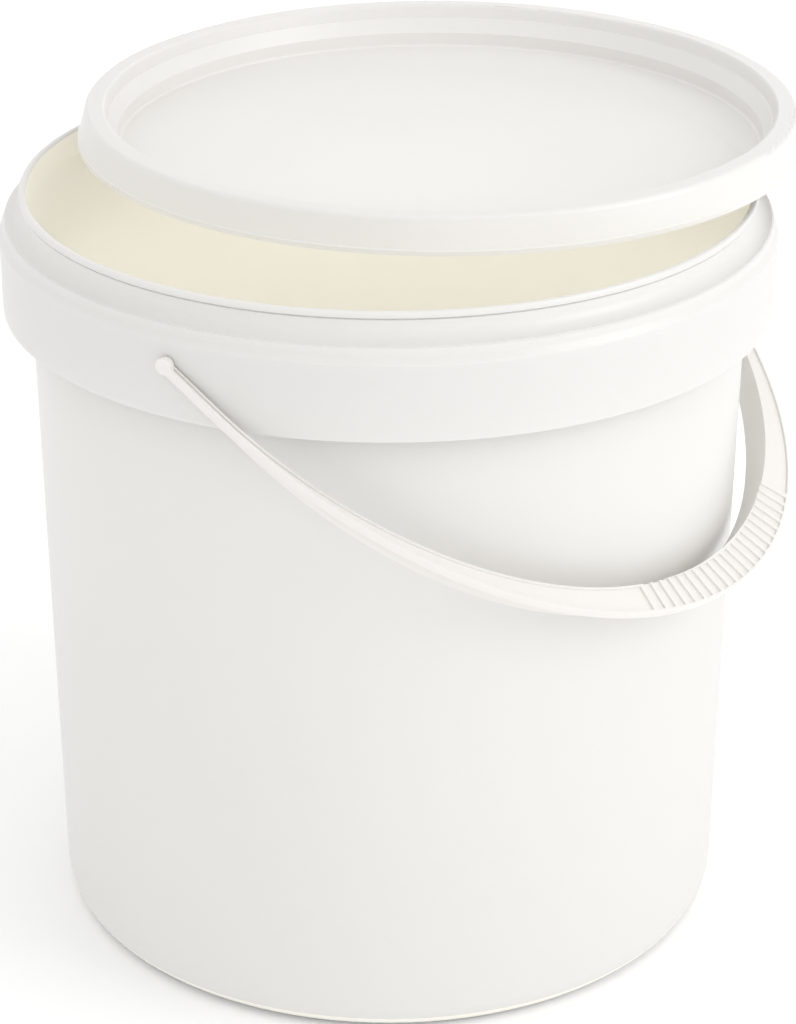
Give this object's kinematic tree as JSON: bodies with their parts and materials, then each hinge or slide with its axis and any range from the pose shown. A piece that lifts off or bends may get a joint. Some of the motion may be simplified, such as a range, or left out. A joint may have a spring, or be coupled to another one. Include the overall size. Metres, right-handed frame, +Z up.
{
  "type": "lidded pail",
  "caption": "Straight-sided plastic pail with a stand-off collar, a recessed lid laid on its rim and a swinging bail handle with a ribbed grip.",
  "frame": {"origin": "on the pail's axis, at the plane its foot ring stands on", "axes": "+Z up along the pail's axis; X along the bail's pivot axis; the bail hangs towards -Y; the lid is displaced towards +X"},
  "size_m": [0.296, 0.266, 0.2756],
  "materials": {
    "pail_plastic": "smooth semi-gloss natural white polypropylene",
    "lid_plastic": "smooth semi-gloss white polypropylene",
    "handle_plastic": "smooth semi-gloss white polypropylene"
  },
  "bodies": {
    "pail_body": {"pail": "pail_plastic"},
    "lid_body": {"lid": "lid_plastic"},
    "bail_body": {"bail_handle": "handle_plastic"}
  },
  "joints": [
    {"name": "lid_lift", "type": "slide", "parent": "pail_body", "child": "lid_body", "axis": [0, 0, 1], "range_m": [0, 0.2]},
    {"name": "bail_swing", "type": "hinge", "parent": "pail_body", "child": "bail_body", "pos_m": [0, 0, 0.2385], "axis": [-1, 0, 0], "range_deg": [0, 44]}
  ]
}
